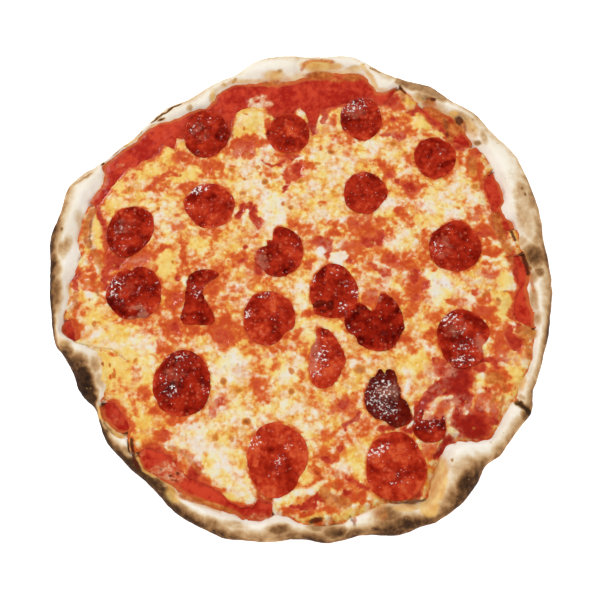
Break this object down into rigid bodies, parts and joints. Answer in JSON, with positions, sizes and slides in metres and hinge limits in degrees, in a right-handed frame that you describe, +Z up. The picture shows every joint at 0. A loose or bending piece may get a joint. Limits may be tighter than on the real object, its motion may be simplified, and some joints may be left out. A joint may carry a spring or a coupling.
{
  "type": "spicy salami pizza",
  "caption": "Hand-stretched round pizza with a puffed, folded rim, tomato sauce, melted mozzarella and slices of spicy salami lying on it.",
  "frame": {"origin": "on the table under the middle of the pizza", "axes": "+Z up, -Y towards the side that is nearest in the picture, +X to its right"},
  "size_m": [0.3295, 0.3373, 0.0235],
  "materials": {
    "crust": "matt baked dough, floury on the crest and toasted below it",
    "sauce": "wet, slightly grainy tomato sauce",
    "cheese": "oily melted mozzarella with browned specks",
    "salami": "oily cured sausage, wrinkled by the oven"
  },
  "bodies": {
    "root": {"crust": "crust", "tomato_sauce": "sauce", "mozzarella": "cheese", "salami_01": "salami", "salami_02": "salami", "salami_03": "salami", "salami_04": "salami", "salami_05": "salami", "salami_06": "salami", "salami_07": "salami", "salami_08": "salami", "salami_09": "salami", "salami_10": "salami", "salami_11": "salami", "salami_12": "salami", "salami_13": "salami", "salami_14": "salami", "salami_15": "salami", "salami_16": "salami", "salami_17": "salami", "salami_18": "salami", "salami_19": "salami", "salami_20": "salami", "salami_21": "salami"}
  },
  "joints": []
}
